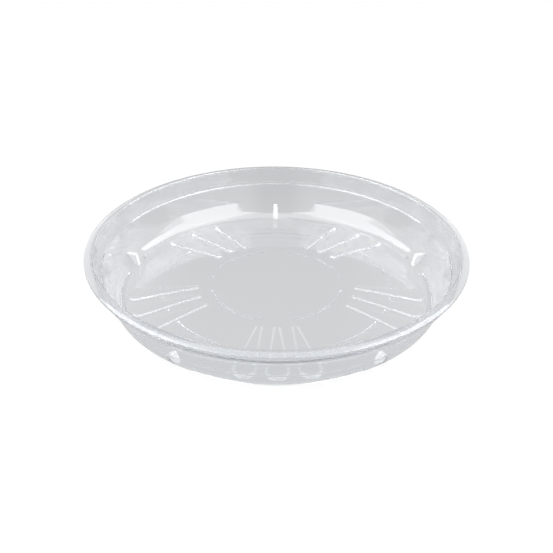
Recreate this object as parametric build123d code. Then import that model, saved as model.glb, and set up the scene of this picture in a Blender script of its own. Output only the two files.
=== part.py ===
from build123d import *
import os
from math import acos, asin, atan2, cos, degrees, hypot, radians, sin, sqrt, tan

# Clear plant saucer in millimetres, +Z up, standing on z = 0 with its axis on Z.
# The real saucer is one thin moulding. Each solid here is one moulded feature of it,
# cut so that neighbours meet face to face.

# Overall sizes
lip_diameter = 250.0
overall_height = 36.4
shell = 1.5

# Rim, from the outside in: a drooping lip, an upright collar and a ledge
lip_width = 5.9
lip_droop = 1.6
lip_edge = 1.6
lip_edge_round = 0.7
lip_root_depth = 2.2
crest_round = 0.8
collar_height = 10.6
collar_lean = 1.3
ledge_width = 3.6
ledge_round = 1.0

# Wall, rounded corner and domed floor
wall_flare = 13.2
corner_radius = 8.5
crown_rise = 5.4

# Feet: low arcs under the corner
foot_height = 0.7
foot_ring_offset = 1.9
foot_rib_width = 2.0
foot_gap = 13.6

# Petals: teardrops pressed down into the floor, in groups that leave room for the lugs
group_count = 5
petals_per_group = 3
petal_pitch = 12.0
petal_tip_start = 52.0
petal_end_inset = 0.4
petal_depth = 0.7
petal_band = 1.7
petal_tip_radius = 2.4
petal_gap = 4.57
petal_margin = 1.0

# Ring ribs under the floor
rib_draft = 18.0
inner_ring_radius = 43.6
inner_ring_arcs = 4
inner_ring_gap = 24.0
inner_rib_width = 1.3
inner_rib_height = 0.8
middle_ring_radius = 76.4
middle_rib_width = 1.6
middle_rib_height = 1.2

# Lugs that centre the pot, standing in the corner under the wall
lug_front_inset = 1.2
lug_rake = 3.0
lug_height = 10.6
lug_foot_width = 4.0
lug_top_width = 2.8

# Round insert mark on the floor in front of one lug
mark_lug_clearance = 9.8
mark_diameter = 12.0
mark_height = 0.25

# Depth below the feet that cutting bodies reach, and steps that find where a flank meets the dome
cutter_depth = 10.0
root_steps = 6

# Radii and heights that follow from the sizes above
lip_radius = lip_diameter / 2
crest_radius = lip_radius - lip_width
collar_foot_radius = crest_radius - collar_lean
ledge_inner_radius = collar_foot_radius - ledge_width
corner_centre_radius = ledge_inner_radius - wall_flare
corner_centre_height = foot_height + corner_radius
ledge_height = overall_height - collar_height
ledge_underside = ledge_height - shell
lip_root_height = overall_height - lip_root_depth
foot_ring_radius = corner_centre_radius + foot_ring_offset
petal_end = corner_centre_radius - petal_end_inset
petal_half_pitch = sin(radians(petal_pitch / 2))
petal_end_radius = (petal_end * petal_half_pitch - petal_gap / 2) / (1 + petal_half_pitch)
lug_front = corner_centre_radius - lug_front_inset
mark_radius_on_floor = lug_front - mark_lug_clearance - mark_diameter / 2
inner_corner_radius = corner_radius - shell

# Azimuths: a petal group at the front, a lug halfway between groups
group_angle = 360 / group_count
first_group = 270.0
group_turns = [first_group + group_angle * i for i in range(group_count)]
lug_turns = [turn + group_angle / 2 for turn in group_turns]
petal_turns = [petal_pitch * (i - (petals_per_group - 1) / 2) for i in range(petals_per_group)]
petal_azimuths = [group + turn for group in group_turns for turn in petal_turns]
mark_azimuth = 90.0

# The underside's dome runs into the corner arc without a kink
dome_radius = (corner_centre_radius**2 - 2 * corner_radius * crown_rise + crown_rise**2) / (2 * crown_rise)
dome_centre = foot_height + crown_rise - dome_radius
dome_reach = asin(corner_centre_radius / (dome_radius + corner_radius))

# The inner face of the wall is the line from the ledge edge that touches the inner corner arc
wall_run = ledge_inner_radius - corner_centre_radius
wall_rise = ledge_height - corner_centre_height
wall_lean = acos(inner_corner_radius / hypot(wall_run, wall_rise)) - atan2(wall_rise, wall_run)


def dome_point(thickness, angle):
    """Point of the dome, that far above the underside, at an angle from the axis."""
    radius = dome_radius + thickness
    return (radius * sin(angle), dome_centre + radius * cos(angle))


def dome_height(radius, thickness=0.0):
    """Height of the dome at a distance from the axis."""
    return dome_centre + sqrt((dome_radius + thickness) ** 2 - radius**2)


def corner_point(thickness, angle):
    """Point of the corner, that far inside the outer face, at an angle below the outward horizontal."""
    radius = corner_radius - thickness
    return (corner_centre_radius + radius * cos(angle), corner_centre_height - radius * sin(angle))


def wall_radius(height, thickness=0.0):
    """Radius of the wall's inner face at a height, or of a face that far outside it."""
    return ledge_inner_radius - (ledge_height - height) * tan(wall_lean) + thickness / cos(wall_lean)


def dome_arc(thickness):
    """Arc of the dome from the axis to the corner."""
    return ThreePointArc(*[dome_point(thickness, dome_reach * share) for share in (0, 0.5, 1)])


def corner_arc(thickness):
    """Arc of the corner from the dome to the wall."""
    start = radians(90) + dome_reach
    return ThreePointArc(*[corner_point(thickness, start + (wall_lean - start) * share) for share in (0, 0.5, 1)])


def turned(*edges):
    """Solid of revolution about Z of the closed outline that the edges make in the XZ plane."""
    return revolve(Plane.XZ * make_face(Curve() + list(edges)), axis=Axis.Z)


def below(thickness):
    """Everything under the underside, or under the face that lies a thickness inside it."""
    edge = wall_radius(ledge_underside, shell - thickness)
    base = -cutter_depth
    return turned(
        dome_arc(thickness),
        corner_arc(thickness),
        Polyline(
            corner_point(thickness, wall_lean),
            (edge, ledge_underside),
            (lip_radius, ledge_underside),
            (lip_radius, base),
            (0, base),
            dome_point(thickness, 0),
        ),
    )


under_pan = below(0.0)
under_bed = below(shell)


def at(azimuth, shape):
    """Copy of a shape turned about Z."""
    return Rot(0, 0, azimuth) * shape


# Every petal lies on a sloping plane, half way between the dome's top and its chord
petal_middle = (petal_tip_start + petal_end) / 2
petal_slope = asin(petal_middle / dome_radius)
petal_half = (petal_end - petal_tip_start) / 2 / cos(petal_slope)
petal_sag = petal_half**2 / (4 * dome_radius)
petal_origin = (petal_middle, 0, dome_height(petal_middle, shell) - petal_sag)
petal_plane = Plane(petal_origin).rotated((0, degrees(petal_slope), 0))
petal_tip_x = petal_tip_radius - petal_half
petal_end_x = petal_half - petal_end_radius
petal_incline = atan2(petal_depth, petal_band)
petal_taper = 90 - degrees(petal_incline)


def teardrop(growth):
    """Face of a petal's outline, grown or shrunk: a small tip and a large end joined by tangent lines."""
    tip = petal_tip_radius + growth
    end = petal_end_radius + growth
    spread = asin((end - tip) / (petal_end_x - petal_tip_x))
    tip_x, tip_y = petal_tip_x - tip * sin(spread), tip * cos(spread)
    end_x, end_y = petal_end_x - end * sin(spread), end * cos(spread)
    return make_face(
        Curve()
        + [
            ThreePointArc((tip_x, -tip_y), (petal_tip_x - tip, 0), (tip_x, tip_y)),
            Line((tip_x, tip_y), (end_x, end_y)),
            ThreePointArc((end_x, end_y), (petal_end_x + end, 0), (end_x, -end_y)),
            Line((end_x, -end_y), (tip_x, -tip_y)),
        ]
    )


def petal_prism(growth, base, rise, taper=0.0):
    """Prism on a petal's outline, from a height over the petal plane upwards."""
    return extrude(petal_plane.offset(base) * teardrop(growth), amount=rise, taper=taper)


# The tile is the piece of floor that holds one petal, and the pad is the part pressed down out of it
petal_tile = petal_prism(petal_margin, -cutter_depth / 2, cutter_depth)
petal_recess = petal_prism(-petal_band, -petal_depth, petal_depth + shell / 2, -petal_taper)
pad_growth = shell * tan(petal_incline / 2) - petal_band
petal_pad_body = petal_prism(pad_growth, -petal_depth - shell, petal_depth + shell / 2, -petal_taper)


def whole_pan():
    """Domed floor with its rounded corner, before the petals are pressed in."""
    return turned(
        dome_arc(0.0),
        corner_arc(0.0),
        Line(corner_point(0.0, wall_lean), corner_point(shell, wall_lean)),
        corner_arc(shell),
        dome_arc(shell),
        Line(dome_point(shell, 0), dome_point(0.0, 0)),
    )


pan = whole_pan()
petal_pad = (pan & petal_tile) + (petal_pad_body & petal_tile) - petal_recess


def floor_pan():
    """Domed floor and rounded corner, open where the petals go."""
    return pan - [at(azimuth, petal_tile) for azimuth in petal_azimuths]


def arc_rib(radius, angle, width, base, rise):
    """Drafted rib along an arc centred on +X, with round ends, from its flat base up to the underside."""
    path = CenterArc((0, 0), radius, -angle / 2, angle)
    return extrude(Plane.XY.offset(base) * SlotArc(path, width), amount=rise, taper=-rib_draft) & under_pan


def inner_ring_rib():
    """One arc of the inner ring."""
    width = inner_rib_width - 2 * inner_rib_height * tan(radians(rib_draft))
    base = dome_height(inner_ring_radius) - inner_rib_height
    return arc_rib(inner_ring_radius, 360 / inner_ring_arcs - inner_ring_gap, width, base, 2 * inner_rib_height)


def foot_rib():
    """One arc of the ring that the saucer stands on."""
    return arc_rib(foot_ring_radius, group_angle - foot_gap, foot_rib_width, 0.0, foot_height + shell)


def middle_ring_rib():
    """Whole ring that runs between the petals and just shows under their pads."""
    draft = tan(radians(rib_draft))
    base = dome_height(middle_ring_radius) - middle_rib_height
    base_half = middle_rib_width / 2 - middle_rib_height * draft

    def flank_radius(side, height):
        return middle_ring_radius + side * (base_half + (height - base) * draft)

    def flank_top(side):
        height = base + middle_rib_height
        for _ in range(root_steps):
            height = dome_height(flank_radius(side, height))
        return (flank_radius(side, height), height)

    inner, outer = flank_top(-1), flank_top(1)
    crown = (middle_ring_radius, dome_height(middle_ring_radius))
    ring = turned(
        Polyline(inner, (flank_radius(-1, base), base), (flank_radius(1, base), base), outer),
        ThreePointArc(outer, crown, inner),
    )
    return ring - [at(azimuth, petal_pad_body) for azimuth in petal_azimuths]


def side_wall():
    """Straight flared wall from the rounded corner up to the ledge."""
    return turned(
        Polyline(
            corner_point(shell, wall_lean),
            corner_point(0.0, wall_lean),
            (wall_radius(ledge_underside, shell), ledge_underside),
            (wall_radius(ledge_underside), ledge_underside),
            close=True,
        )
    )


def rim_ledge():
    """Step at the top of the wall, rounded at its inner and lower outer edges."""
    inner = (ledge_inner_radius, ledge_height)
    outer = (collar_foot_radius + shell, ledge_underside)
    outline = make_face(
        Polyline(
            (wall_radius(ledge_underside), ledge_underside),
            outer,
            (collar_foot_radius + shell, ledge_height),
            inner,
            close=True,
        )
    )
    rounded = [outline.vertices().sort_by_distance((*corner, 0))[0] for corner in (inner, outer)]
    return revolve(Plane.XZ * fillet(rounded, ledge_round), axis=Axis.Z)


def collar_radius(height):
    """Radius of the collar's inner face at a height."""
    return collar_foot_radius + collar_lean * (height - ledge_height) / collar_height


def rim_collar():
    """Upright band between the ledge and the lip."""
    return turned(
        Polyline(
            (collar_foot_radius, ledge_height),
            (collar_foot_radius + shell, ledge_height),
            (collar_radius(lip_root_height) + shell, lip_root_height),
            (collar_radius(lip_root_height), lip_root_height),
            close=True,
        )
    )


def rim_lip():
    """Lip that rolls over from the crest and droops to the outermost edge."""
    crest = (crest_radius, overall_height)
    brow = (crest_radius + crest_round, overall_height)
    edge_top = (lip_radius, overall_height - lip_droop)
    edge_base = (lip_radius, overall_height - lip_droop - lip_edge)
    outline = make_face(
        Curve()
        + [
            TangentArc(brow, edge_top, tangent=(1, 0)),
            Polyline(
                edge_top,
                edge_base,
                (collar_radius(lip_root_height) + shell, lip_root_height),
                (collar_radius(lip_root_height), lip_root_height),
                crest,
                brow,
            ),
        ]
    )
    for corner, size in ((crest, crest_round), (edge_top, lip_edge_round), (edge_base, lip_edge_round)):
        outline = fillet(outline.vertices().sort_by_distance((*corner, 0))[0], size)
    return revolve(Plane.XZ * outline, axis=Axis.Z)


def wall_lug():
    """Raked lug standing in the corner, narrower at its top."""
    back = ledge_inner_radius
    side = Polyline((lug_front, 0), (back, 0), (back, lug_height), (lug_front + lug_rake, lug_height), close=True)
    front = Polyline(
        (-lug_foot_width / 2, 0),
        (lug_foot_width / 2, 0),
        (lug_top_width / 2, lug_height),
        (-lug_top_width / 2, lug_height),
        close=True,
    )
    slab = extrude(Plane.XZ * make_face(side), amount=lug_foot_width, both=True)
    return (slab & extrude(Plane.YZ * make_face(front), amount=back)) - under_bed


def insert_mark():
    """Low round disc left on the floor by an insert in the mould."""
    disc = Pos(mark_radius_on_floor, 0, 0) * extrude(Circle(mark_diameter / 2), amount=ledge_height)
    return (disc & Pos(0, 0, mark_height) * under_bed) - under_bed


nodes = {
    "floor_pan": floor_pan(),
    "side_wall": side_wall(),
    "rim_ledge": rim_ledge(),
    "rim_collar": rim_collar(),
    "rim_lip": rim_lip(),
    "middle_ring_rib": middle_ring_rib(),
    "insert_mark": at(mark_azimuth, insert_mark()),
}


def repeat(name, shape, azimuths):
    """Adds one numbered node for each azimuth."""
    for number, azimuth in enumerate(azimuths, 1):
        nodes[f"{name}_{number:02d}"] = at(azimuth, shape)


repeat("petal_pad", petal_pad, petal_azimuths)
repeat("inner_ring_rib", inner_ring_rib(), [360 / inner_ring_arcs * (i + 0.5) for i in range(inner_ring_arcs)])
repeat("foot_rib", foot_rib(), group_turns)
repeat("wall_lug", wall_lug(), lug_turns)

os.makedirs("parts", exist_ok=True)
for name, shape in nodes.items():
    export_step(shape, f"parts/{name}.step")
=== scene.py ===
"""Clear plant saucer: a thin moulding of clear plastic with a ring of lugs, in a plain studio."""

import logging
from dataclasses import dataclass
from enum import Enum
from math import acos, asin, atan, atan2, cos, degrees, hypot, pi, radians, sin, sqrt, tan
from typing import Any, Callable, Iterable, Mapping, Sequence

import bmesh
import bpy
import numpy as np
from mathutils import Matrix, Vector
from mathutils.geometry import delaunay_2d_cdt


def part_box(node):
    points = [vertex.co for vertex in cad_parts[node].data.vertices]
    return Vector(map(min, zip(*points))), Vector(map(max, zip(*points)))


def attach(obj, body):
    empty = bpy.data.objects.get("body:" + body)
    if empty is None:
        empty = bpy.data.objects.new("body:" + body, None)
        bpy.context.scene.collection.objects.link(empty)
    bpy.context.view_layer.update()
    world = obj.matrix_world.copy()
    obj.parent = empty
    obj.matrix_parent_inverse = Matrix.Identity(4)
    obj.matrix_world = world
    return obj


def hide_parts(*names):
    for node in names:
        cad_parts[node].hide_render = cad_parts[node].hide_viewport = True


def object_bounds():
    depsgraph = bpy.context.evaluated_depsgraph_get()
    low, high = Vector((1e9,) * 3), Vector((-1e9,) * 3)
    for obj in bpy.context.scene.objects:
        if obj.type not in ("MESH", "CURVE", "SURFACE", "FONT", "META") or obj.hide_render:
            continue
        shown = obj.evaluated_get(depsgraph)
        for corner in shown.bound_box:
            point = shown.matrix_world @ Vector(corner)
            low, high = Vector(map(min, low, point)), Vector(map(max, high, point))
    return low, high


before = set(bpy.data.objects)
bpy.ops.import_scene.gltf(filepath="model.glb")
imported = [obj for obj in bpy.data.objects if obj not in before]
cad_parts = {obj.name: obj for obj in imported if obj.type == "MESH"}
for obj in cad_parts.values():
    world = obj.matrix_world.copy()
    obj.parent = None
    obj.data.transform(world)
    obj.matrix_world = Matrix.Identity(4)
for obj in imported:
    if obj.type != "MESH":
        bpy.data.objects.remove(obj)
CAD_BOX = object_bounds()
LOG = logging.getLogger("saucer")

# Lengths are in millimetres and angles in degrees until a mesh, lamp or camera is made
MILLIMETRE = 0.001
LEANING = "leaning"
Point = tuple[float, float]


class Face(Enum):
    """The two faces of the shell."""

    INSIDE = "inside"
    UNDER = "under"


def soft_min(a: np.ndarray, b: np.ndarray, blend: float) -> np.ndarray:
    """Lower of two heights, with the crease between them rounded.

    Args:
        a: First heights.
        b: Second heights.
        blend: Height over which one runs into the other.

    Returns:
        The joined heights.
    """
    share = np.clip(0.5 + 0.5 * (b - a) / blend, 0, 1)
    return b + (a - b) * share - blend * share * (1 - share)


def soft_max(a: np.ndarray, b: np.ndarray, blend: float) -> np.ndarray:
    """Higher of two heights, with the crease between them rounded."""
    return -soft_min(-a, -b, blend)


def polar(radius: Any, angle: Any) -> np.ndarray:
    """Points in the plane from radii and angles in degrees."""
    turn = np.radians(angle)
    return np.stack(np.broadcast_arrays(radius * np.cos(turn), radius * np.sin(turn)), axis=-1)


def turned(points: np.ndarray, angle: float) -> np.ndarray:
    """Points of the plane turned about the axis by an angle in degrees."""
    c, s = cos(radians(angle)), sin(radians(angle))
    return points @ np.array([[c, s], [-s, c]])


def linked(name: str, data: Any) -> bpy.types.Object:
    """New object with its data, put in the scene."""
    piece = bpy.data.objects.new(name, data)
    bpy.context.scene.collection.objects.link(piece)
    return piece


@dataclass(frozen=True)
class BowlSizes:
    """Sizes of the turned bowl: a domed floor, a rounded corner, a flared wall and a stepped rim."""

    lip_radius: float
    height: float
    ledge_height: float
    shell: float
    lip_width: float = 5.9
    lip_droop: float = 1.6
    lip_edge: float = 1.6
    lip_edge_round: float = 0.35
    crest_round: float = 0.8
    collar_lean: float = 1.3
    ledge_width: float = 3.6
    ledge_round: float = 1.0
    inner_round: float = 0.5
    wall_flare: float = 13.2
    knuckle_height: float = 12.6
    knuckle_bulge: float = 0.7
    knuckle_round: float = 3.0
    corner_radius: float = 8.5
    crown_rise: float = 5.4
    foot_height: float = 0.7

    @classmethod
    def from_frame(cls) -> "BowlSizes":
        """Sizes with the outer ones read from the solids."""
        collar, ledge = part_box("rim_collar"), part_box("rim_ledge")
        return cls(
            lip_radius=min(abs(side) for corner in CAD_BOX for side in corner[:2]) / MILLIMETRE,
            height=CAD_BOX[1][2] / MILLIMETRE,
            ledge_height=collar[0].z / MILLIMETRE,
            shell=(ledge[1].z - ledge[0].z) / MILLIMETRE,
        )


class Bowl:
    """The turned shape of the saucer, without its relief."""

    lip_steps = 6
    fillet_step = 15.0
    corner_fineness = 2

    def __init__(self, sizes: BowlSizes) -> None:
        """Works out the radii and heights that follow from the sizes."""
        self.sizes = sizes
        self.crest = sizes.lip_radius - sizes.lip_width
        self.collar_foot = self.crest - sizes.collar_lean
        self.ledge_inner = self.collar_foot - sizes.ledge_width
        self.corner_centre = self.ledge_inner - sizes.wall_flare
        self.corner_height = sizes.foot_height + sizes.corner_radius
        rise, corner = sizes.crown_rise, sizes.corner_radius
        self.dome_radius = (self.corner_centre**2 - 2 * corner * rise + rise**2) / (2 * rise)
        self.dome_centre = sizes.foot_height + rise - self.dome_radius
        straight = self._lean_to(self.ledge_inner, sizes.ledge_height)
        drop = sizes.ledge_height - sizes.knuckle_height
        self.knuckle = self.ledge_inner - drop * tan(straight) + sizes.knuckle_bulge
        self.upper_lean = atan2(self.ledge_inner - self.knuckle, drop)
        self.wall_lean = self._lean_to(self.knuckle, sizes.knuckle_height)

    def _lean_to(self, radius: float, height: float) -> float:
        """Lean of the line from a point on the inner face down to where it touches the rounded corner."""
        run, climb = radius - self.corner_centre, height - self.corner_height
        bend = self.sizes.corner_radius - self.sizes.shell
        return acos(bend / hypot(run, climb)) - atan2(climb, run)

    def offset(self, face: Face) -> float:
        """Distance of a face from the underside of the shell."""
        return self.sizes.shell if face is Face.INSIDE else 0.0

    def dome(self, radius: np.ndarray, face: Face) -> np.ndarray:
        """Heights of the domed floor."""
        return self.dome_centre + np.sqrt((self.dome_radius + self.offset(face)) ** 2 - np.square(radius))

    def wall_radius(self, height: float) -> float:
        """Radius of the inner face below the wall's knuckle."""
        return self.knuckle - (self.sizes.knuckle_height - height) * tan(self.wall_lean)

    def outer_wall(self) -> list[tuple[float, float, float]]:
        """Corners of the outer face from under the ledge to the knuckle, with their roundings."""
        s = self.sizes
        underside = s.ledge_height - s.shell
        top = self.ledge_inner - s.shell * tan(self.upper_lean) + s.shell / cos(self.upper_lean)
        middle = (self.upper_lean + self.wall_lean) / 2
        reach = s.shell / cos(self.wall_lean - middle)
        out, down = reach * cos(middle), reach * sin(middle)
        knuckle = (self.knuckle + out, s.knuckle_height - down, s.knuckle_round)
        return [(top, underside, s.inner_round), knuckle]

    def height(self, radius: np.ndarray, face: Face) -> np.ndarray:
        """Heights of the floor, the corner and the lower wall.

        Args:
            radius: Distances from the axis.
            face: Face of the shell.

        Returns:
            The heights over the plane of the feet.
        """
        offset = self.offset(face)
        bend = self.sizes.corner_radius - offset
        between = self.dome_radius + self.sizes.corner_radius
        dome_end = self.corner_centre * (self.dome_radius + offset) / between
        wall_start = self.corner_centre + bend * cos(self.wall_lean)
        across = np.clip(radius - self.corner_centre, -bend, bend)
        corner = self.corner_height - np.sqrt(np.maximum(bend**2 - across**2, 0))
        foot = self.corner_height - bend * sin(self.wall_lean)
        wall = foot + (radius - wall_start) / tan(self.wall_lean)
        dome = self.dome(np.minimum(radius, self.corner_centre), face)
        return np.where(radius < dome_end, dome, np.where(radius < wall_start, corner, wall))

    def collar_radius(self, height: float) -> float:
        """Radius of the collar's inner face at a height."""
        s = self.sizes
        return self.collar_foot + s.collar_lean * (height - s.ledge_height) / (s.height - s.ledge_height)

    def rim_section(self, start: Point, end_radius: float) -> tuple[np.ndarray, np.ndarray]:
        """Section from the wall's inner face over the rim and down to the underside.

        Args:
            start: Radius and height where the section leaves the inner face.
            end_radius: Radius where it ends on the underside of the corner.

        Returns:
            The section's points and their outward normals, both as radius and height.
        """
        s = self.sizes
        underside = s.ledge_height - s.shell
        brow = (self.crest + s.crest_round, s.height)
        fall = 2 * atan(s.lip_droop / (s.lip_width - s.crest_round))
        sweep = (s.lip_width - s.crest_round) / sin(fall)
        centre = np.array([brow[0], s.height - sweep])
        bends = np.linspace(0, fall, self.lip_steps + 1)
        lip = [(*(centre + sweep * np.array([sin(b), cos(b)])), 0.0) for b in bends[:-1]]
        under = [(*(centre + (sweep - s.shell) * np.array([sin(b), cos(b)])), 0.0) for b in bends[-2:1:-1]]
        root = centre[1] + sweep - s.shell
        lowest = acos((end_radius - self.corner_centre) / s.corner_radius)
        steps = degrees(lowest - self.wall_lean) / self.fillet_step * self.corner_fineness
        bends = np.linspace(self.wall_lean, lowest, round(steps))
        bend, middle, level = s.corner_radius, self.corner_centre, self.corner_height
        corner = [(middle + bend * cos(b), level - bend * sin(b), 0.0) for b in bends]
        return rounded_path(
            [
                (*start, 0.0),
                (self.knuckle, s.knuckle_height, s.knuckle_round),
                (self.ledge_inner, s.ledge_height, s.ledge_round),
                (self.collar_foot, s.ledge_height, s.inner_round),
                (self.crest, s.height, s.crest_round),
                *lip,
                (s.lip_radius, s.height - s.lip_droop, s.lip_edge_round),
                (s.lip_radius, s.height - s.lip_droop - s.lip_edge, s.lip_edge_round),
                *under,
                (self.collar_radius(root) + s.shell, root, s.inner_round),
                (self.collar_foot + s.shell, underside, s.ledge_round),
                *self.outer_wall(),
                *corner,
            ],
            self.fillet_step,
        )


def rounded_path(
    corners: Sequence[tuple[float, float, float]], step: float, fewest: int = 3
) -> tuple[np.ndarray, np.ndarray]:
    """Path through corners, each rounded by its own radius.

    Args:
        corners: Radius, height and rounding of each corner, with the material on the right of the path.
        step: Largest turn between two points of a rounding.
        fewest: Fewest points of a rounding.

    Returns:
        The path's points and the normals on their left.
    """
    places = [np.array(c[:2]) for c in corners]
    points, normals = [], []
    ways = [(b - a) / np.linalg.norm(b - a) for a, b in zip(places, places[1:])]
    for i, (place, (_, _, rounding)) in enumerate(zip(places, corners)):
        before, after = ways[max(i - 1, 0)], ways[min(i, len(ways) - 1)]
        turn = atan2(before[0] * after[1] - before[1] * after[0], before @ after)
        first = atan2(before[1], before[0])
        if rounding == 0.0:
            points.append(place)
            normals.append((-sin(first + turn / 2), cos(first + turn / 2)))
            continue
        setback = rounding * abs(tan(turn / 2))
        side = 1.0 if turn > 0 else -1.0
        centre = place - before * setback + side * rounding * np.array([-before[1], before[0]])
        for share in np.linspace(0, 1, max(fewest, round(degrees(abs(turn)) / step) + 1)):
            normal = np.array([-sin(first + turn * share), cos(first + turn * share)])
            points.append(centre - side * rounding * normal)
            normals.append(normal)
    return np.array(points), np.array(normals)


@dataclass(frozen=True)
class Petals:
    """Teardrop pads raised on the floor, in groups that leave room for the lugs."""

    bowl: Bowl
    groups: int = 5
    per_group: int = 3
    pitch: float = 12.0
    tip_start: float = 52.0
    end_inset: float = 0.4
    rise: float = 0.7
    band: float = 1.7
    tip_radius: float = 2.4
    gap: float = 4.57
    softness: float = 0.25
    fade: float = 0.6
    reach: float = 3.0
    loops: tuple[float, ...] = (0.8, 0.4, 0.15, -0.1, -0.45, -0.9, -1.25, -1.5, -1.7, -1.95, -2.3)
    flank_points: int = 11
    tip_points: int = 9
    end_points: int = 23

    @property
    def end(self) -> float:
        """Radius of the outermost point of a petal."""
        return self.bowl.corner_centre - self.end_inset

    @property
    def end_radius(self) -> float:
        """Radius of a petal's wide end, as wide as its neighbours allow."""
        half = sin(radians(self.pitch / 2))
        return (self.end * half - self.gap / 2) / (1 + half)

    @property
    def turns(self) -> list[float]:
        """Angles of a group's petals from the group's middle."""
        return [self.pitch * (i - (self.per_group - 1) / 2) for i in range(self.per_group)]

    def plane(self, along: np.ndarray) -> np.ndarray:
        """Heights of the sloping plane that a petal lies on, on the inside."""
        middle = (self.tip_start + self.end) / 2
        slope = asin(middle / self.bowl.dome_radius)
        half = (self.end - self.tip_start) / 2 / cos(slope)
        sag = half**2 / (4 * self.bowl.dome_radius)
        origin = float(self.bowl.dome(np.array(middle), Face.INSIDE)) - sag
        return origin - tan(slope) * (along - middle)

    def distance(self, along: np.ndarray, across: np.ndarray) -> np.ndarray:
        """Distances from the nominal outline, negative within it."""
        tip, end = self.tip_start + self.tip_radius, self.end - self.end_radius
        length = end - tip
        lean = (self.tip_radius - self.end_radius) / length
        cosine = sqrt(1 - lean**2)
        aside, on = np.abs(across), along - tip
        position = cosine * on - lean * aside
        flank = cosine * aside + lean * on - self.tip_radius
        near_tip = np.hypot(aside, on) - self.tip_radius
        near_end = np.hypot(aside, on - length) - self.end_radius
        return np.where(position < 0, near_tip, np.where(position > cosine * length, near_end, flank))

    def lift(self, points: np.ndarray, height: np.ndarray) -> np.ndarray:
        """Heights of the inner face with the pads of one group on it."""
        for turn in self.turns:
            local = turned(points, -turn)
            along, distance = local[..., 0], self.distance(local[..., 0], local[..., 1])
            flank = -distance * self.rise / self.band
            top = self.plane(along) + soft_min(np.full_like(flank, self.rise), flank, self.softness)
            height = np.where(distance < self.reach, soft_max(height, top, self.softness), height)
        return height

    def outside(self, points: np.ndarray) -> np.ndarray:
        """How far points are out of one group's pads: 0 inside their outlines, 1 past a short fade."""
        share = np.ones(points.shape[:-1])
        for turn in self.turns:
            local = turned(points, -turn)
            distance = self.distance(local[..., 0], local[..., 1])
            share = np.minimum(share, np.clip(distance / self.fade, 0, 1))
        return share

    def outline(self, growth: float) -> np.ndarray:
        """Closed outline of a petal on the x axis, grown or shrunk."""
        tip, end = self.tip_radius + growth, self.end_radius + growth
        tip_x, end_x = self.tip_start + self.tip_radius, self.end - self.end_radius
        spread = degrees(asin((end - tip) / (end_x - tip_x)))
        tip_arc = polar(tip, np.linspace(90 + spread, 270 - spread, self.tip_points)) + [tip_x, 0]
        end_arc = polar(end, np.linspace(-90 - spread, 90 + spread, self.end_points)) + [end_x, 0]
        shares = np.linspace(0, 1, self.flank_points)[1:-1, None]
        lower = tip_arc[-1] + (end_arc[0] - tip_arc[-1]) * shares
        upper = end_arc[-1] + (tip_arc[0] - end_arc[-1]) * shares
        return np.concatenate([tip_arc, lower, end_arc, upper])

    def outlines(self, loops: Iterable[float]) -> list[np.ndarray]:
        """Outlines of one group's pads, each grown or shrunk by every loop."""
        grown = [self.outline(loop) for loop in loops]
        return [turned(loop, turn) for turn in self.turns for loop in grown]

    def clear(self, points: np.ndarray, room: float) -> np.ndarray:
        """Which points lie away from every petal's outlines."""
        away = np.ones(len(points), bool)
        for turn in self.turns:
            local = turned(points, -turn)
            distance = self.distance(local[:, 0], local[:, 1])
            away &= (distance > max(self.loops) + room) | (distance < min(self.loops) - room)
        return away


@dataclass(frozen=True)
class ArcRib:
    """Drafted rib under the floor along an arc about the axis, centred on the x axis."""

    radius: float
    half_angle: float
    base_height: float
    base_half: float
    rise: float
    draft: float = 18.0
    softness: float = 0.14
    crown_share: float = 0.8
    skirts: tuple[float, float] = (0.08, 0.25)
    columns: int = 40
    end_points: int = 9

    def distance(self, points: np.ndarray) -> np.ndarray:
        """Distances from the rib's middle line."""
        radius = np.hypot(points[..., 0], points[..., 1])
        angle = np.degrees(np.arctan2(points[..., 1], points[..., 0]))
        end = polar(self.radius, self.half_angle)
        to_end = np.hypot(points[..., 0] - end[0], np.abs(points[..., 1]) - end[1])
        return np.where(np.abs(angle) <= self.half_angle, np.abs(radius - self.radius), to_end)

    def stand(self, points: np.ndarray, height: np.ndarray) -> np.ndarray:
        """Heights of the underside with the rib on it."""
        flank = np.maximum(self.distance(points) - self.base_half, 0) / tan(radians(self.draft))
        return soft_min(height, self.base_height + flank, self.softness)

    @property
    def spans(self) -> list[float]:
        """Distances from the middle line at which the rib needs an outline."""
        foot = self.base_half + self.rise * tan(radians(self.draft))
        middle = (self.base_half + foot) / 2
        crown = self.base_half * self.crown_share
        return [crown, self.base_half, middle, foot, *(foot + skirt for skirt in self.skirts)]

    def outlines(self) -> list[np.ndarray]:
        """Closed outlines of an arc with round ends."""
        sweep = np.linspace(-self.half_angle, self.half_angle, self.columns)
        found = []
        for span in self.spans:
            cap = np.linspace(0, 180, self.end_points)[1:-1]
            last = polar(self.radius, self.half_angle) + polar(span, self.half_angle + cap)
            first = polar(self.radius, -self.half_angle) + polar(span, 180 - self.half_angle + cap)
            outer, inner = polar(self.radius + span, sweep), polar(self.radius - span, sweep[::-1])
            found.append(np.concatenate([outer, last, inner, first]))
        return found

    def clear(self, points: np.ndarray, room: float) -> np.ndarray:
        """Which points lie away from the rib."""
        return self.distance(points) > max(self.spans) + room


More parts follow.
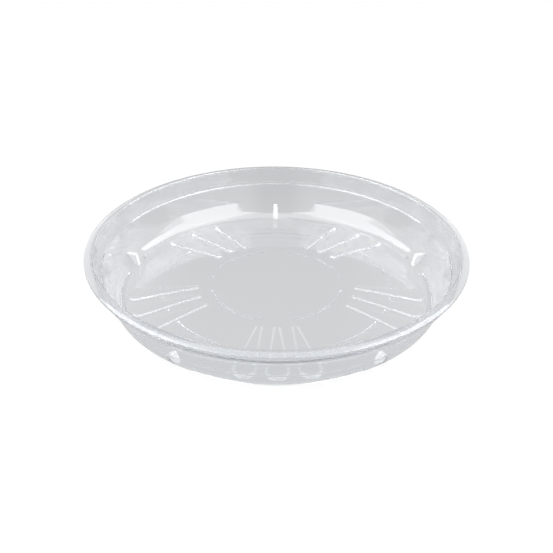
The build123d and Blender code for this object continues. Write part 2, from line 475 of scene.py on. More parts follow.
@dataclass(frozen=True)
class Lugs:
    """Raked lugs that stand in the corner between the petal groups."""

    bowl: Bowl
    count: int
    height: float
    front_inset: float = 1.2
    rake: float = 3.0
    foot_half: float = 2.0
    top_half: float = 1.4
    sink: float = 0.2
    wall: float = 0.7
    hollow: float = 0.76
    edge_round: float = 0.3
    edge_steps: int = 3
    edge_profile: float = 0.5
    side_points: int = 12

    def _side(self) -> np.ndarray:
        """Side view of a lug as radius and height, sunk a little into the floor and the wall."""
        front = self.bowl.corner_centre - self.front_inset
        back = self.bowl.wall_radius(self.height) + self.sink
        floor = float(self.bowl.height(np.array(front), Face.INSIDE)) - self.sink
        foot = front + self.rake * floor / self.height
        along = np.linspace(foot, back, self.side_points)
        rise = np.minimum(self.bowl.height(along, Face.INSIDE) - self.sink, self.height)
        return np.concatenate([[(front + self.rake, self.height)], np.column_stack([along, rise])])

    def _block(self, side: np.ndarray, thinner: float) -> bmesh.types.BMesh:
        """Block on the x axis with rounded edges.

        Args:
            side: Its side view.
            thinner: Cut from each of its two sides.

        Returns:
            The closed block, with its faces outward.
        """
        shape = bmesh.new()
        wide = self.foot_half + (self.top_half - self.foot_half) * side[:, 1] / self.height - thinner
        halves = []
        for sign in (-1, 1):
            corners = [Vector((r, sign * w, z)) * MILLIMETRE for (r, z), w in zip(side, wide)]
            halves.append([shape.verts.new(corner) for corner in corners])
        shape.faces.new(halves[0])
        shape.faces.new(halves[1][::-1])
        for i in range(len(side)):
            j = (i + 1) % len(side)
            shape.faces.new([halves[0][j], halves[0][i], halves[1][i], halves[1][j]])
        bmesh.ops.recalc_face_normals(shape, faces=shape.faces)
        exposed = {vertex for half in halves for vertex in (half[0], half[1], half[-1])}
        bmesh.ops.bevel(
            shape,
            geom=[edge for edge in shape.edges if set(edge.verts) <= exposed],
            offset=self.edge_round * MILLIMETRE,
            offset_type="OFFSET",
            segments=self.edge_steps,
            profile=self.edge_profile,
            affect="EDGES",
        )
        return shape

    def _one(self) -> bpy.types.Object:
        """One hollow lug on the x axis."""
        side = self._side()
        middle = side.mean(axis=0)
        shape = self._block(side, 0.0)
        hollow = self._block(middle + (side - middle) * self.hollow, self.wall)
        bmesh.ops.reverse_faces(hollow, faces=hollow.faces)
        mesh = bpy.data.meshes.new("lug")
        hollow.to_mesh(mesh)
        shape.from_mesh(mesh)
        shape.to_mesh(mesh)
        shape.free()
        hollow.free()
        mesh.polygons.foreach_set("use_smooth", np.ones(len(mesh.polygons), bool))
        mesh.set_sharp_from_angle(angle=radians(Saucer.crease))
        return linked("lug", mesh)

    def build(self, plastic: bpy.types.Material) -> bpy.types.Object:
        """Builds the ring of lugs and puts it in place of their solids.

        Args:
            plastic: The lugs' material.

        Returns:
            The finished piece.
        """
        lug = self._one()
        first = -pi / 2 + pi / self.count
        values = {"Outer wedges": self.count, "First outer wedge": first, "Plastic": plastic}
        mesh = RepeatTree().run(lug, values)
        bpy.data.objects.remove(lug)
        return place(mesh, "wall_lugs", [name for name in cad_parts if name.startswith("wall_lug")])


@dataclass(frozen=True)
class InsertMark:
    """Low round disc that an insert in the mould leaves on the floor in front of one lug."""

    centre: float
    radius: float
    rise: float = 0.25
    edge: float = 0.25
    azimuth: float = 90.0
    points: int = 25
    edge_circles: int = 2

    @classmethod
    def from_frame(cls) -> "InsertMark":
        """The mark where its solid is."""
        low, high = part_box("insert_mark")
        return cls(centre=(low.y + high.y) / 2 / MILLIMETRE, radius=(high.x - low.x) / 2 / MILLIMETRE)

    @property
    def spans(self) -> list[float]:
        """Radii of the circles that the mark's edge needs."""
        return [self.radius + self.edge * i for i in range(-self.edge_circles, self.edge_circles + 1)]

    def outlines(self, half_angle: float) -> list[np.ndarray]:
        """Half circles at the two edges of a wedge."""
        found = []
        for span in self.spans:
            arc = polar(span, np.linspace(0, 180, self.points)) + [self.centre, 0]
            found.append(turned(arc * [1, -1], half_angle))
            found.append(turned(arc, -half_angle))
        return found

    def clear(self, points: np.ndarray, half_angle: float, room: float) -> np.ndarray:
        """Which points lie away from the circles."""
        away = np.ones(len(points), bool)
        for side in (-1, 1):
            span = np.linalg.norm(turned(points, -side * half_angle) - [self.centre, 0], axis=1)
            away &= np.abs(span - self.radius) > self.edge_circles * self.edge + room
        return away

    def raise_on(self, places: np.ndarray, inside: np.ndarray) -> np.ndarray:
        """Rise of the floor at each place of its inner face.

        Args:
            places: Points of the skin.
            inside: Which of them lie on the inner face.

        Returns:
            The rise at each point.
        """
        span = np.linalg.norm(places[:, :2] - polar(self.centre, self.azimuth), axis=1)
        share = np.clip((self.radius + self.edge - span) / (2 * self.edge), 0, 1)
        return np.where(inside, self.rise * share**2 * (3 - 2 * share), 0.0)


class Wedge:
    """Triangles over one wedge of the floor, set out in radius and angle, that keep to its outlines."""

    column = 1.5
    merge = 1e-4
    snap = 1e-6

    def __init__(self, half_angle: float, inner: float, outer: float, rungs: Iterable[float]) -> None:
        """Starts with the wedge's own edge.

        Args:
            half_angle: Half of the wedge's angle, centred on the x axis.
            inner: Radius where it starts.
            outer: Radius where it ends.
            rungs: Radii of the points on its two straight edges.
        """
        self.half_angle = half_angle
        self.scale = radians((inner + outer) / 2)
        self.points: list[Vector] = []
        self.edges: list[tuple[int, int]] = []
        self.angles = np.linspace(-half_angle, half_angle, round(2 * half_angle / self.column) + 1)
        radii = sorted({round(r, 6) for r in rungs if inner < r < outer})
        corners = [(inner, a) for a in self.angles[::-1]]
        corners += [(r, -half_angle) for r in radii]
        corners += [(outer, a) for a in self.angles]
        corners += [(r, half_angle) for r in reversed(radii)]
        self._join([Vector((r, a * self.scale)) for r, a in corners], closed=True)

    def _join(self, path: list[Vector], closed: bool) -> None:
        """Joins the points of a path."""
        first, count = len(self.points), len(path)
        self.points += path
        self.edges += [(first + i, first + (i + 1) % count) for i in range(count if closed else count - 1)]

    def _flat(self, points: np.ndarray) -> list[Vector]:
        """Points as radius and scaled angle, with those at the straight edges put right on them."""
        angle = np.degrees(np.arctan2(points[:, 1], points[:, 0]))
        on_edge = np.abs(np.abs(angle) - self.half_angle) < self.snap
        angle = np.where(on_edge, np.copysign(self.half_angle, angle), angle)
        radius = np.hypot(points[:, 0], points[:, 1])
        return [Vector(p) for p in np.column_stack([radius, angle * self.scale])]

    def add(self, path: np.ndarray, closed: bool) -> None:
        """Adds a path that the triangles keep to."""
        self._join(self._flat(path), closed)

    def scatter(self, points: np.ndarray) -> None:
        """Adds free points."""
        self.points += self._flat(points)

    def fill(self) -> tuple[np.ndarray, np.ndarray]:
        """Points and triangles of the filled wedge, anticlockwise from above."""
        within_edges = 1
        found = delaunay_2d_cdt(self.points, self.edges, [], within_edges, self.merge, False)
        flat, triangles = np.array([tuple(p) for p in found[0]]), np.array([tuple(t) for t in found[2]])
        return polar(flat[:, 0], flat[:, 1] / self.scale), triangles


class Skin:
    """Gathers the triangles and quads of one repeat of the saucer's closed skin."""

    probe = 0.02

    def __init__(self, name: str) -> None:
        """Starts an empty skin."""
        self.name = name
        self.places: list[np.ndarray] = []
        self.leanings: list[np.ndarray] = []
        self.faces: list[tuple[int, ...]] = []
        self.count = 0

    def _take(self, places: np.ndarray, leanings: np.ndarray, faces: Iterable[Sequence[int]]) -> None:
        """Adds points with their normals, and faces on them."""
        self.faces += [tuple(int(i) + self.count for i in face) for face in faces]
        self.places.append(places)
        self.leanings.append(leanings)
        self.count += len(places)

    def spread(self, wedge: Wedge, height: Callable[[np.ndarray], np.ndarray], face: Face) -> None:
        """Adds a filled wedge lifted to a face's heights.

        Args:
            wedge: The wedge to fill.
            height: Gives the heights of points in the plane.
            face: Face of the shell, which says where the outside is.
        """
        points, triangles = wedge.fill()
        east, north = np.array([self.probe, 0]), np.array([0, self.probe])
        slope_x = (height(points + east) - height(points - east)) / (2 * self.probe)
        slope_y = (height(points + north) - height(points - north)) / (2 * self.probe)
        normals = np.stack([-slope_x, -slope_y, np.ones(len(points))], axis=1)
        normals /= np.linalg.norm(normals, axis=1)[:, None]
        if face is Face.UNDER:
            normals, triangles = -normals, triangles[:, ::-1]
        azimuth = np.arctan2(points[:, 1], points[:, 0])
        c, s = np.cos(azimuth), np.sin(azimuth)
        outward = normals[:, 0] * c + normals[:, 1] * s
        around = normals[:, 1] * c - normals[:, 0] * s
        leanings = np.stack([outward, around, normals[:, 2]], axis=1)
        self._take(np.column_stack([points, height(points)]), leanings, triangles)

    def turn(self, section: np.ndarray, normals: np.ndarray, angles: np.ndarray) -> None:
        """Adds a section turned about the axis.

        Args:
            section: Radius and height of the section's points.
            normals: Outward normals of those points.
            angles: Azimuths of the columns.
        """
        rows, columns = len(section), len(angles)
        flat = polar(section[None, :, 0], angles[:, None])
        heights = np.broadcast_to(section[None, :, 1:], (columns, rows, 1))
        places = np.concatenate([flat, heights], axis=2).reshape(-1, 3)
        lean = np.stack([normals[:, 0], np.zeros(rows), normals[:, 1]], axis=1)
        faces = [
            (c * rows + r, c * rows + r + 1, (c + 1) * rows + r + 1, (c + 1) * rows + r)
            for c in range(columns - 1)
            for r in range(rows - 1)
        ]
        self._take(places, np.tile(lean, (columns, 1)), faces)

    def make(self) -> bpy.types.Object:
        """Object of the gathered mesh, with each normal kept as outward, around and up."""
        mesh = bpy.data.meshes.new(self.name)
        mesh.from_pydata((np.concatenate(self.places) * MILLIMETRE).tolist(), [], self.faces)
        kept = mesh.attributes.new(LEANING, "FLOAT_VECTOR", "POINT")
        kept.data.foreach_set("vector", np.concatenate(self.leanings).astype(np.float32).ravel())
        return linked(self.name, mesh)


def place(mesh: bpy.types.Mesh, name: str, nodes: Iterable[str]) -> bpy.types.Object:
    """Puts a finished mesh in the scene in place of solids.

    Args:
        mesh: The mesh, with its material.
        name: Name of the piece.
        nodes: Solids that it stands for.

    Returns:
        The piece, which rides on the one rigid body.
    """
    mesh.name = name
    piece = linked(name, mesh)
    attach(piece, "root")
    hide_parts(*sorted(nodes))
    return piece


class RepeatTree:
    """Geometry Nodes that turn the wedges about the axis and weld them into one skin."""

    def __init__(self) -> None:
        """Builds the tree with its named inputs."""
        self.tree = bpy.data.node_groups.new("Wedges about the axis", "GeometryNodeTree")
        self.inputs: dict[str, str] = {}
        for name, kind in (
            ("Geometry", "NodeSocketGeometry"),
            ("Middle", "NodeSocketObject"),
            ("Outer wedges", "NodeSocketInt"),
            ("First outer wedge", "NodeSocketFloat"),
            ("Middle wedges", "NodeSocketInt"),
            ("First middle wedge", "NodeSocketFloat"),
            ("Weld", "NodeSocketFloat"),
            ("Plastic", "NodeSocketMaterial"),
        ):
            socket = self.tree.interface.new_socket(name, in_out="INPUT", socket_type=kind)
            self.inputs[name] = socket.identifier
        self.tree.interface.new_socket("Geometry", in_out="OUTPUT", socket_type="NodeSocketGeometry")
        given = self._node("NodeGroupInput")
        middle = self._node("GeometryNodeObjectInfo", Object=given.outputs["Middle"])
        joined = self._node("GeometryNodeJoinGeometry")
        for source, label in ((given, "outer"), (middle, "middle")):
            count = given.outputs[f"{label.title()} wedges"]
            first = given.outputs[f"First {label} wedge"]
            ring = self._ring(source.outputs["Geometry"], count, first)
            self.tree.links.new(ring.outputs["Instances"], joined.inputs["Geometry"])
        real = self._node("GeometryNodeRealizeInstances", Geometry=joined.outputs["Geometry"])
        welded = self._node(
            "GeometryNodeMergeByDistance", Geometry=real.outputs["Geometry"], Distance=given.outputs["Weld"]
        )
        dressed = self._node(
            "GeometryNodeSetMaterial", Geometry=welded.outputs["Geometry"], Material=given.outputs["Plastic"]
        )
        self._node("NodeGroupOutput", Geometry=dressed.outputs["Geometry"])

    def _node(self, kind: str, **inputs: Any) -> bpy.types.Node:
        """Adds a node and fills or links its inputs by name."""
        node = self.tree.nodes.new(kind)
        for name, value in inputs.items():
            if isinstance(value, bpy.types.NodeSocket):
                self.tree.links.new(value, node.inputs[name])
            else:
                node.inputs[name].default_value = value
        return node

    def _math(self, operation: str, a: Any, b: Any) -> bpy.types.NodeSocket:
        """Adds a Math node and gives its result."""
        node = self.tree.nodes.new("ShaderNodeMath")
        node.operation = operation
        for socket, value in zip(node.inputs, (a, b)):
            if isinstance(value, bpy.types.NodeSocket):
                self.tree.links.new(value, socket)
            else:
                socket.default_value = value
        return node.outputs[0]

    def _ring(self, geometry: Any, count: Any, first: Any) -> bpy.types.Node:
        """Instances of a geometry turned about the axis in equal steps."""
        points = self._node("GeometryNodePoints", Count=count)
        index = self._node("GeometryNodeInputIndex").outputs["Index"]
        share = self._math("DIVIDE", self._math("MULTIPLY", index, 2 * pi), count)
        angle = self._math("ADD", share, first)
        euler = self._node("ShaderNodeCombineXYZ", Z=angle).outputs["Vector"]
        rotation = self._node("FunctionNodeEulerToRotation", Euler=euler).outputs["Rotation"]
        spots = points.outputs["Points"]
        return self._node("GeometryNodeInstanceOnPoints", Points=spots, Instance=geometry, Rotation=rotation)

    def run(self, piece: bpy.types.Object, values: Mapping[str, Any]) -> bpy.types.Mesh:
        """Plain mesh of a piece after the tree.

        Args:
            piece: Object that carries the outer wedge.
            values: Values of the named inputs.

        Returns:
            The welded mesh.
        """
        modifier = piece.modifiers.new("Repeats", "NODES")
        modifier.node_group = self.tree
        for name, value in values.items():
            modifier[self.inputs[name]] = value
        evaluated = piece.evaluated_get(bpy.context.evaluated_depsgraph_get())
        mesh = bpy.data.meshes.new_from_object(evaluated)
        piece.modifiers.remove(modifier)
        return mesh


class Shade:
    """A shader socket that takes part in arithmetic."""

    def __init__(self, recipe: "Recipe", socket: bpy.types.NodeSocket) -> None:
        """Wraps a socket of a recipe."""
        self.recipe = recipe
        self.socket = socket

    def _with(self, operation: str, a: Any, b: Any) -> "Shade":
        """Result of a Math node."""
        return self.recipe.node("ShaderNodeMath", {"operation": operation}, {0: a, 1: b})

    def __add__(self, other: Any) -> "Shade":
        """Sum."""
        return self._with("ADD", self, other)

    def __radd__(self, other: Any) -> "Shade":
        """Sum with a number on the left."""
        return self._with("ADD", other, self)

    def __sub__(self, other: Any) -> "Shade":
        """Difference."""
        return self._with("SUBTRACT", self, other)

    def __mul__(self, other: Any) -> "Shade":
        """Product."""
        return self._with("MULTIPLY", self, other)


class Recipe:
    """Builds the nodes of one material or world."""

    def __init__(self, owner: Any) -> None:
        """Starts from an empty node tree.

        Args:
            owner: Material or world that the nodes belong to.
        """
        owner.use_nodes = True
        self.tree = owner.node_tree
        self.tree.nodes.clear()

    def node(
        self, kind: str, settings: Mapping[str, Any], inputs: Mapping[Any, Any], output: Any = 0
    ) -> Shade:
        """Adds a node.

        Args:
            kind: The node's type.
            settings: Settings of the node, set first.
            inputs: Values or links of its sockets, by name or index.
            output: Name or index of the output to give back.

        Returns:
            That output, ready for arithmetic.
        """
        made = self.tree.nodes.new(kind)
        for name, value in settings.items():
            setattr(made, name, value)
        for key, value in inputs.items():
            if isinstance(value, Shade):
                self.tree.links.new(value.socket, made.inputs[key])
            else:
                made.inputs[key].default_value = value
        return Shade(self, made.outputs[output] if made.outputs else made.inputs[0])

    def rays(self) -> tuple[Shade, Shade, Shade]:
        """Shares of rays straight from the camera, mirrored in a gloss and through a clear piece."""
        names = ("Is Camera Ray", "Is Glossy Ray", "Is Transmission Ray")
        straight, gloss, through = [self.node("ShaderNodeLightPath", {}, {}, name) for name in names]
        return straight, gloss - gloss * through, through

    def noise(self, place: Shade, scale: float, detail: float) -> Shade:
        """Soft noise over a place."""
        return self.node("ShaderNodeTexNoise", {}, {"Vector": place, "Scale": scale, "Detail": detail})

    def ramp(self, value: Shade, start: float, end: float, low: float = 0.0, high: float = 1.0) -> Shade:
        """Smooth change from low to high between two bounds of a value."""
        return self.node(
            "ShaderNodeMapRange",
            {"interpolation_type": "SMOOTHSTEP"},
            {"Value": value, "From Min": start, "From Max": end, "To Min": low, "To Max": high},
        )


@dataclass(frozen=True)
class ClearPlastic:
    """Clear gloss plastic with a faint grey body, as it comes out of a polished mould."""

    name: str = "clear_plastic"
    tint: tuple[float, float, float] = (0.957, 0.972, 0.992)
    cloud: tuple[float, float, float] = (0.935, 0.952, 0.975)
    body: tuple[float, float, float] = (0.24, 0.25, 0.265)
    body_density: float = 3.5
    clarity: float = 1.0
    refraction: float = 1.49
    gloss: float = 0.025
    gloss_change: float = 0.03
    cloud_scale: float = 9.0
    ripple_scale: float = 60.0
    grain_scale: float = 900.0
    cloud_detail: float = 3.0
    fine_detail: float = 2.0
    ripple: float = 0.000004
    grain: float = 0.000001

    def make(self) -> bpy.types.Material:
        """Material with flow clouds in its tint, uneven gloss and mould ripple."""
        material = bpy.data.materials.new(self.name)
        recipe = Recipe(material)
        place = recipe.node("ShaderNodeTexCoord", {}, {}, "Object")
        cloud = recipe.noise(place, self.cloud_scale, self.cloud_detail)
        ripple = recipe.noise(place, self.ripple_scale, self.fine_detail)
        grain = recipe.noise(place, self.grain_scale, self.fine_detail)
        colour = recipe.node(
            "ShaderNodeMix",
            {"data_type": "RGBA"},
            {"Factor": cloud, 6: (*self.tint, 1.0), 7: (*self.cloud, 1.0)},
            2,
        )
        relief = ripple * (self.ripple / MILLIMETRE) + grain * (self.grain / MILLIMETRE)
        bump = recipe.node(
            "ShaderNodeBump", {}, {"Strength": 1.0, "Distance": MILLIMETRE, "Height": relief}, "Normal"
        )
        surface = recipe.node(
            "ShaderNodeBsdfPrincipled",
            {},
            {
                "Base Color": colour,
                "Roughness": self.gloss + ripple * self.gloss_change,
                "Normal": bump,
                "IOR": self.refraction,
                "Transmission Weight": self.clarity,
            },
        )
        body = recipe.node(
            "ShaderNodeVolumeAbsorption", {}, {"Color": (*self.body, 1.0), "Density": self.body_density}
        )
        recipe.node("ShaderNodeOutputMaterial", {}, {"Surface": surface, "Volume": body})
        return material


SATIN = ClearPlastic(
    name="satin_plastic",
    tint=(1.0, 1.0, 1.0),
    cloud=(0.97, 0.98, 1.0),
    clarity=0.25,
    gloss=0.2,
)


@dataclass(frozen=True)
class Paper:
    """Plain white studio paper, which still takes a soft shadow, and which shows painted shade through clear
    pieces and in their gloss.
    """

    name: str = "studio_paper"
    colour: tuple[float, float, float] = (0.8, 0.8, 0.8)
    glow_share: float = 0.88
    # Painted shade: grey levels of the paper in gloss and through clear pieces, darker towards the back
    painted_shade_in_gloss: float = 0.6
    through: float = 0.7
    painted_shade_back: float = 0.6
    back_from: float = 40.0
    back_to: float = 170.0

    def make(self) -> bpy.types.Material:
        """Material that shows as white paper, and as painted shade through clear pieces and in their gloss:
        a fixed grey, darker towards the back, in place of lit paper.
        """
        material = bpy.data.materials.new(self.name)
        recipe = Recipe(material)
        straight, mirrored, through = recipe.rays()
        share = straight * self.glow_share + mirrored + through
        matt = recipe.node("ShaderNodeBsdfDiffuse", {}, {"Color": (*self.colour, 1.0)})
        spot = recipe.node("ShaderNodeTexCoord", {}, {}, "Object")
        depth = recipe.node("ShaderNodeSeparateXYZ", {}, {"Vector": spot}, "Y")
        near, far = self.back_from * MILLIMETRE, self.back_to * MILLIMETRE
        # Painted shade: rays through clear pieces see the paper at a fixed grey that darkens towards the
        # back, not at its lit level
        painted_shade = recipe.ramp(depth, near, far, self.through, self.painted_shade_back)
        strength = straight + mirrored * self.painted_shade_in_gloss + through * painted_shade
        white = recipe.node("ShaderNodeEmission", {}, {"Strength": strength})
        surface = recipe.node("ShaderNodeMixShader", {}, {0: share, 1: matt, 2: white})
        recipe.node("ShaderNodeOutputMaterial", {}, {"Surface": surface})
        return material


class Saucer:
    """The whole moulding as one closed skin."""

    split = 48.5
    wall_join = 10.0
    under_end = 106.0
    row = 3.0
    close_row = 1.0
    room = 0.7
    weld = 1e-5
    crease = 30.0
    quarters = 4
    inner_ring_radius = 43.6
    inner_ring_gap = 24.0
    inner_ring_width = 1.3
    inner_ring_rise = 0.8
    middle_ring_radius = 76.4
    middle_ring_width = 1.6
    middle_ring_rise = 1.2
    foot_outset = 1.9
    foot_gap = 13.6
    foot_half = 1.0
    foot_rise = 1.2

    def __init__(self) -> None:
        """Reads the sizes and sets out the relief."""
        self.bowl = Bowl(BowlSizes.from_frame())
        self.petals = Petals(self.bowl)
        self.half_angle = 180 / self.petals.groups
        self.mark = InsertMark.from_frame()
        arc = (360 / self.quarters - self.inner_ring_gap) / 2
        self.inner_rib = self._hanging_rib(
            self.inner_ring_radius, arc, self.inner_ring_width, self.inner_ring_rise
        )
        self.middle_rib = self._hanging_rib(
            self.middle_ring_radius, 180.0, self.middle_ring_width, self.middle_ring_rise
        )
        foot_radius = self.bowl.corner_centre + self.foot_outset
        foot_arc = (2 * self.half_angle - self.foot_gap) / 2
        self.foot_rib = ArcRib(foot_radius, foot_arc, 0.0, self.foot_half, self.foot_rise)
        self.inside_end = self.bowl.wall_radius(self.wall_join)

    def _hanging_rib(self, radius: float, half_angle: float, width: float, rise: float) -> ArcRib:
        """Rib that hangs from the dome by its own height."""
        root = float(self.bowl.dome(np.array(radius), Face.UNDER))
        base_half = width / 2 - rise * tan(radians(ArcRib.draft))
        return ArcRib(radius, half_angle, root - rise, base_half, rise)

    def _inside_height(self, points: np.ndarray) -> np.ndarray:
        """Heights of the inner face in an outer wedge."""
        plain = self.bowl.height(np.linalg.norm(points, axis=-1), Face.INSIDE)
        return self.petals.lift(points, plain)

    def _under_height(self, points: np.ndarray) -> np.ndarray:
        """Heights of the underside in an outer wedge."""
        plain = self.bowl.height(np.linalg.norm(points, axis=-1), Face.UNDER)
        ring = self.middle_rib.stand(points, plain)
        return self.foot_rib.stand(points, plain + (ring - plain) * self.petals.outside(points))

    def _rows(self, start: float, end: float) -> np.ndarray:
        """Radii of the rows of free points, closer together past the dome."""
        bend = self.bowl.corner_centre - self.close_row
        wide = np.arange(start, min(bend, end), self.row)
        return np.concatenate([wide, np.arange(bend, end, self.close_row)]) if end > bend else wide

    def _lattice(self, wedge: Wedge, rows: np.ndarray) -> np.ndarray:
        """Free points on the rows, one for each column of the wedge."""
        return polar(rows[:, None], wedge.angles[None, 1:-1]).reshape(-1, 2)

    def _outer_wedge(self) -> bpy.types.Object:
        """One fifth of the saucer: a petal group, a foot and the rim above them."""
        skin = Skin("outer_wedge")
        marks = [self.mark.centre + side * span for span in self.mark.spans for side in (-1, 1)]
        rows = self._rows(self.split, self.inside_end)
        rungs = [r for r in rows if abs(abs(r - self.mark.centre) - self.mark.radius) > self.close_row]
        wedge = Wedge(self.half_angle, self.split, self.inside_end, [*rungs, *marks])
        for line in self.petals.outlines(self.petals.loops):
            wedge.add(line, closed=True)
        for line in self.mark.outlines(self.half_angle):
            wedge.add(line, closed=False)
        free = self._lattice(wedge, rows[1:])
        keep = self.petals.clear(free, self.room)
        wedge.scatter(free[keep & self.mark.clear(free, self.half_angle, self.room)])
        skin.spread(wedge, self._inside_height, Face.INSIDE)

        rows = self._rows(self.split, self.under_end)
        ring = [self.middle_rib.radius + side * span for span in self.middle_rib.spans for side in (-1, 1)]
        beyond = max(self.middle_rib.spans) + self.room
        rungs = [r for r in rows if abs(r - self.middle_rib.radius) > beyond]
        wedge = Wedge(self.half_angle, self.split, self.under_end, [*rungs, *ring])
        for radius in ring:
            wedge.add(polar(radius, wedge.angles), closed=False)
        for line in [*self.petals.outlines((0.0, self.petals.fade)), *self.foot_rib.outlines()]:
            wedge.add(line, closed=True)
        free = self._lattice(wedge, rows[1:])
        keep = self.petals.clear(free, self.room) & self.foot_rib.clear(free, self.room)
        wedge.scatter(free[keep & self.middle_rib.clear(free, self.room)])
        skin.spread(wedge, self._under_height, Face.UNDER)

        start = (self.inside_end, float(self.bowl.height(np.array(self.inside_end), Face.INSIDE)))
        skin.turn(*self.bowl.rim_section(start, self.under_end), wedge.angles)
        return skin.make()

    def _middle_wedge(self) -> bpy.types.Object:
        """One quarter of the middle of the floor, with an arc of the inner ring under it."""
        skin = Skin("middle_wedge")
        half = 180 / self.quarters
        rows = np.arange(self.row, self.split, self.row)
        for face in Face:
            wedge = Wedge(half, 0.0, self.split, rows)
            free = self._lattice(wedge, rows)
            if face is Face.UNDER:
                free = free[self.inner_rib.clear(free, self.room)]
                for line in self.inner_rib.outlines():
                    wedge.add(line, closed=True)
            wedge.scatter(free)
            skin.spread(wedge, lambda points, side=face: self._middle_height(points, side), face)
        return skin.make()

    def _middle_height(self, points: np.ndarray, face: Face) -> np.ndarray:
        """Heights of a face in the middle of the floor."""
        plain = self.bowl.dome(np.linalg.norm(points, axis=-1), face)
        return plain if face is Face.INSIDE else self.inner_rib.stand(points, plain)

    def _finish_normals(self, mesh: bpy.types.Mesh) -> None:
        """Raises the insert mark and gives every point its true normal."""
        count = len(mesh.vertices)
        places, leaning = np.empty(count * 3, np.float32), np.empty(count * 3, np.float32)
        mesh.vertices.foreach_get("co", places)
        mesh.attributes[LEANING].data.foreach_get("vector", leaning)
        places = places.reshape(-1, 3).astype(float) / MILLIMETRE
        leaning = leaning.reshape(-1, 3).astype(float)
        azimuth = np.arctan2(places[:, 1], places[:, 0])
        c, s = np.cos(azimuth), np.sin(azimuth)
        outward, around, up = leaning.T
        normals = np.stack([outward * c - around * s, outward * s + around * c, up], axis=1)
        inside = leaning[:, 2] > 0
        rise = self.mark.raise_on(places, inside)
        for axis in (0, 1):
            probe = np.zeros(3)
            probe[axis] = Skin.probe
            ahead, back = (self.mark.raise_on(places + way, inside) for way in (probe, -probe))
            slope = (ahead - back) / 2
            normals[:, axis] -= slope / Skin.probe
        places[:, 2] += rise
        normals /= np.linalg.norm(normals, axis=1)[:, None]
        mesh.vertices.foreach_set("co", (places * MILLIMETRE).astype(np.float32).ravel())
        mesh.attributes.remove(mesh.attributes[LEANING])
        mesh.polygons.foreach_set("use_smooth", np.ones(len(mesh.polygons), bool))
        mesh.update()
        mesh.normals_split_custom_set(self._corner_normals(mesh, normals).tolist())

    def _corner_normals(self, mesh: bpy.types.Mesh, normals: np.ndarray) -> np.ndarray:
        """Normals of the faces' corners.

        Args:
            mesh: The welded mesh.
            normals: Normals of its points.

        Returns:
            The point's normal at each corner, or the face's own normal where a crease parts the two.
        """
        sizes = np.empty(len(mesh.polygons), np.int32)
        flat = np.empty(len(mesh.polygons) * 3, np.float32)
        corners = np.empty(len(mesh.loops), np.int32)
        mesh.polygons.foreach_get("loop_total", sizes)
        mesh.polygons.foreach_get("normal", flat)
        mesh.loops.foreach_get("vertex_index", corners)
        faces = np.repeat(flat.reshape(-1, 3).astype(float), sizes, axis=0)
        smooth = normals[corners]
        creased = (faces * smooth).sum(axis=1) < cos(radians(self.crease))
        return np.where(creased[:, None], faces, smooth)

    def build(self, plastic: bpy.types.Material) -> bpy.types.Object:
        """Builds the skin and puts it in place of the solids.

        Args:
            plastic: The material of the whole moulding.

        Returns:
            The finished piece.
        """
        outer, middle = self._outer_wedge(), self._middle_wedge()
        mesh = RepeatTree().run(
            outer,
            {
                "Middle": middle,
                "Outer wedges": self.petals.groups,
                "First outer wedge": -pi / 2,
                "Middle wedges": self.quarters,
                "First middle wedge": pi / self.quarters,
                "Weld": self.weld,
                "Plastic": plastic,
            },
        )
        for wedge in (outer, middle):
            bpy.data.objects.remove(wedge)
        self._finish_normals(mesh)
        nodes = [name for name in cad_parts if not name.startswith("wall_lug")]
        return place(mesh, "saucer_moulding", nodes)


@dataclass(frozen=True)
class Softbox:
    """Large soft lamp beside the object."""

    name: str
    place: tuple[float, float, float]
    aim: tuple[float, float, float]
    width: float
    height: float
    power: float

    def make(self) -> bpy.types.Object:
        """Rectangular area lamp that faces its aim."""
        lamp = bpy.data.lights.new(self.name, "AREA")
        lamp.shape = "RECTANGLE"
        lamp.size = self.width * MILLIMETRE
        lamp.size_y = self.height * MILLIMETRE
        lamp.energy = self.power
        piece = linked(self.name, lamp)
        piece.location = Vector(self.place) * MILLIMETRE
        way = Vector(self.aim) - Vector(self.place)
        piece.rotation_euler = way.to_track_quat("-Z", "Y").to_euler()
        return piece


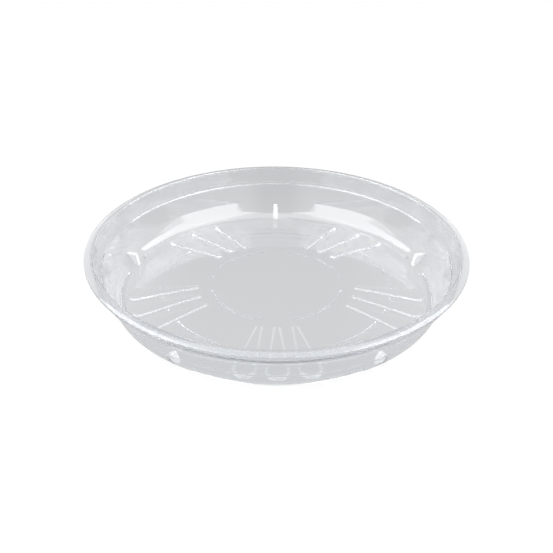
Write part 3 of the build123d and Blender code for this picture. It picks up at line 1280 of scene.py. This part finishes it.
@dataclass(frozen=True)
class Studio:
    """White paper, soft light from both sides and the camera of the photograph."""

    light_bounces: int = 100
    paper_size: float = 8000.0
    paper_drop: float = 0.1
    ambient: float = 0.35
    # Gloss levels and overhead are painted reflections that only glossy rays see; world_through and
    # side_through are painted shade seen through clear pieces
    gloss_dark: float = 0.3
    painted_reflection_bright: float = 1.55
    world_through: float = 0.66
    side_through: float = 0.3
    overhead: float = 3.4
    overhead_from: float = 0.8
    overhead_full: float = 0.9
    dark_to: float = 0.1
    bright_from: float = 0.42
    softbox_place: tuple[float, float, float] = (850.0, -250.0, 800.0)
    softbox_aim: tuple[float, float, float] = (0.0, 0.0, 60.0)
    softbox_size: tuple[float, float] = (2000.0, 1100.0)
    softbox_power: float = 22.0
    focal_pixels: float = 950.0
    frame_pixels: float = 553.0
    sensor: float = 36.0
    distance: float = 636.5
    elevation: float = 31.1
    turn: float = 0.7
    roll: float = 0.54
    aim_height: float = 11.4

    def lay_paper(self) -> None:
        """Lays the floor just under the feet."""
        half = self.paper_size / 2 * MILLIMETRE
        low = CAD_BOX[0][2] - self.paper_drop * MILLIMETRE
        mesh = bpy.data.meshes.new("paper")
        corners = [(-half, -half, low), (half, -half, low), (half, half, low), (-half, half, low)]
        mesh.from_pydata(corners, [], [(0, 1, 2, 3)])
        mesh.materials.append(Paper().make())
        paper = linked("paper", mesh)

    def light(self) -> None:
        """Sets the lamps and the surroundings: white to the camera, painted shade through clear pieces, and
        painted reflections of bright sides and an overhead patch in their gloss.
        """
        out, near, up = self.softbox_place
        for side, name in ((-1, "left_softbox"), (1, "right_softbox")):
            spot = (side * out, near, up)
            Softbox(name, spot, self.softbox_aim, *self.softbox_size, self.softbox_power).make()
        world = bpy.data.worlds.new("white_room")
        bpy.context.scene.world = world
        recipe = Recipe(world)
        straight, mirrored, through = recipe.rays()
        way = recipe.node("ShaderNodeTexCoord", {}, {}, "Generated")
        across = recipe.node("ShaderNodeSeparateXYZ", {}, {"Vector": way}, "X")
        aside = recipe.node("ShaderNodeMath", {"operation": "ABSOLUTE"}, {0: across})
        facing = recipe.ramp(aside, self.dark_to, self.bright_from)
        upward = recipe.node("ShaderNodeSeparateXYZ", {}, {"Vector": way}, "Z")
        above = recipe.ramp(upward, self.overhead_from, self.overhead_full)
        # Painted reflections: glossy rays alone see bright sides and an overhead patch, which light nothing
        # else; rays through clear pieces see painted shade, a grey that lightens to the sides
        beside = self.gloss_dark - self.ambient + facing * (self.painted_reflection_bright - self.gloss_dark)
        painted_shade_behind = self.world_through - self.ambient + facing * self.side_through
        strength = (
            self.ambient
            + straight * (1 - self.ambient)
            + mirrored * (beside + above * self.overhead)
            + through * painted_shade_behind
        )
        white = (1.0, 1.0, 1.0, 1.0)
        glow = recipe.node("ShaderNodeBackground", {}, {"Color": white, "Strength": strength})
        recipe.node("ShaderNodeOutputWorld", {}, {"Surface": glow})

    def set_camera(self) -> None:
        """Sets the camera where the photograph was taken from."""
        data = bpy.data.cameras.new("camera")
        data.sensor_width = self.sensor
        data.lens = self.sensor * self.focal_pixels / self.frame_pixels
        camera = linked("camera", data)
        azimuth = radians(-90 - self.turn)
        rise = radians(self.elevation)
        aim = Vector((0, 0, self.aim_height)) * MILLIMETRE
        away = Vector((cos(rise) * cos(azimuth), cos(rise) * sin(azimuth), sin(rise)))
        camera.location = aim + away * self.distance * MILLIMETRE
        looking = (-away).to_track_quat("-Z", "Y").to_matrix()
        camera.rotation_euler = (looking @ Matrix.Rotation(radians(self.roll), 3, "Z")).to_euler()
        bpy.context.scene.camera = camera

    def make(self) -> None:
        """Sets up the whole studio."""
        scene = bpy.context.scene
        scene.view_settings.view_transform = "Standard"
        scene.cycles.max_bounces = self.light_bounces
        scene.cycles.glossy_bounces = self.light_bounces
        scene.cycles.transmission_bounces = self.light_bounces
        self.lay_paper()
        self.light()
        self.set_camera()


def main() -> None:
    """Builds the saucer and its studio."""
    logging.basicConfig(level=logging.INFO, format="%(name)s: %(message)s")
    saucer = Saucer()
    lugs = Lugs(saucer.bowl, saucer.petals.groups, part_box("wall_lug_01")[1].z / MILLIMETRE)
    for piece in (saucer.build(ClearPlastic().make()), lugs.build(SATIN.make())):
        LOG.info("%s: %d points, %d faces", piece.name, len(piece.data.vertices), len(piece.data.polygons))
    Studio().make()


if __name__ == "__main__":
    main()
